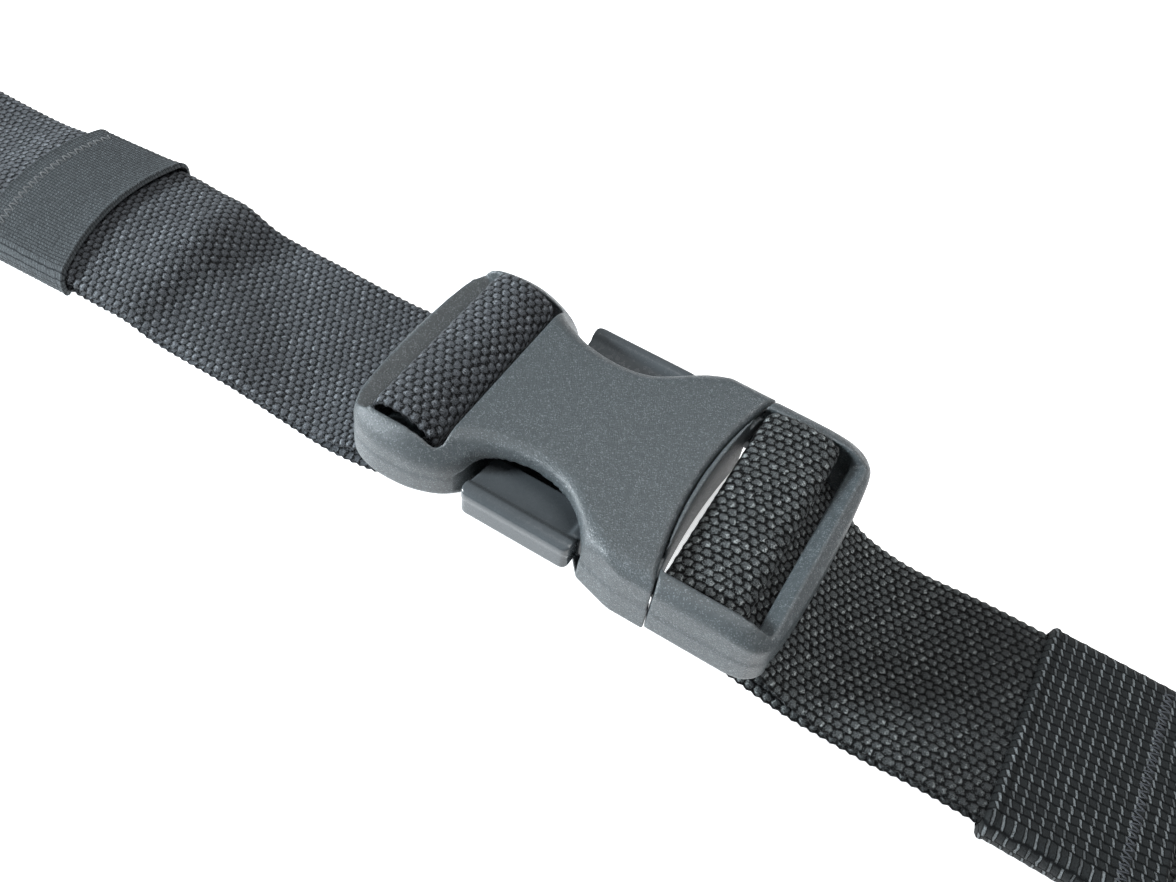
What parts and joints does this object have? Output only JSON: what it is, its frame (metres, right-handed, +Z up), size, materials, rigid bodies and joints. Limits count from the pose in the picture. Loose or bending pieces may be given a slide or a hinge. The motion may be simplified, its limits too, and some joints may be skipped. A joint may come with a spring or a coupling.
{
  "type": "dive weight belt",
  "caption": "Webbing weight belt closed by a side-release buckle, with ladder-lock adjustment on both halves and sliding elastic keepers.",
  "frame": {"origin": "middle of the whole belt's footprint, on the surface it lies on", "axes": "+X along the belt from socket to plug, +Y across the belt from the standing run to the buckle run, +Z up out of the buckle's face"},
  "size_m": [0.5542, 0.182, 0.05],
  "materials": {
    "shell_plastic": "fine-grained moulded acetal, dark grey",
    "arm_plastic": "smooth satin acetal, dark grey",
    "webbing": "coarse charcoal polyester weave with paler flecks",
    "elastic": "fine ribbed elastic band, charcoal",
    "thread": "bonded nylon sewing thread, dark grey"
  },
  "bodies": {
    "socket": {"buckle_socket": "shell_plastic", "webbing_left": "webbing", "webbing_back": "webbing", "tail_tack_left": "thread"},
    "plug": {"buckle_plug": "shell_plastic", "webbing_right": "webbing", "tail_tack_right": "thread"},
    "arm_far": {"release_arm_far": "arm_plastic"},
    "arm_near": {"release_arm_near": "arm_plastic"},
    "keeper_left": {"keeper_left": "elastic", "keeper_stitch_left": "thread"},
    "keeper_right": {"keeper_right": "elastic", "keeper_stitch_right": "thread"}
  },
  "joints": [
    {"name": "plug_slide", "type": "slide", "parent": "socket", "child": "plug", "axis": [1, 0, 0], "range_m": [0, 0.05], "deforming": ["release_arm_far", "release_arm_near"]},
    {"name": "arm_far_squeeze", "type": "hinge", "parent": "plug", "child": "arm_far", "pos_m": [0.061, 0.08297, 0.02], "axis": [0, 0, 1], "range_deg": [0, 9.5], "stiffness_Nm_per_rad": 0.6},
    {"name": "arm_near_squeeze", "type": "hinge", "parent": "plug", "child": "arm_near", "pos_m": [0.061, 0.03698, 0.02], "axis": [0, 0, -1], "range_deg": [0, 9.5], "stiffness_Nm_per_rad": 0.6},
    {"name": "keeper_left_slide", "type": "slide", "parent": "socket", "child": "keeper_left", "axis": [1, 0, 0], "range_m": [-0.01, 0.01]},
    {"name": "keeper_right_slide", "type": "slide", "parent": "plug", "child": "keeper_right", "axis": [1, 0, 0], "range_m": [-0.01, 0.01]}
  ]
}
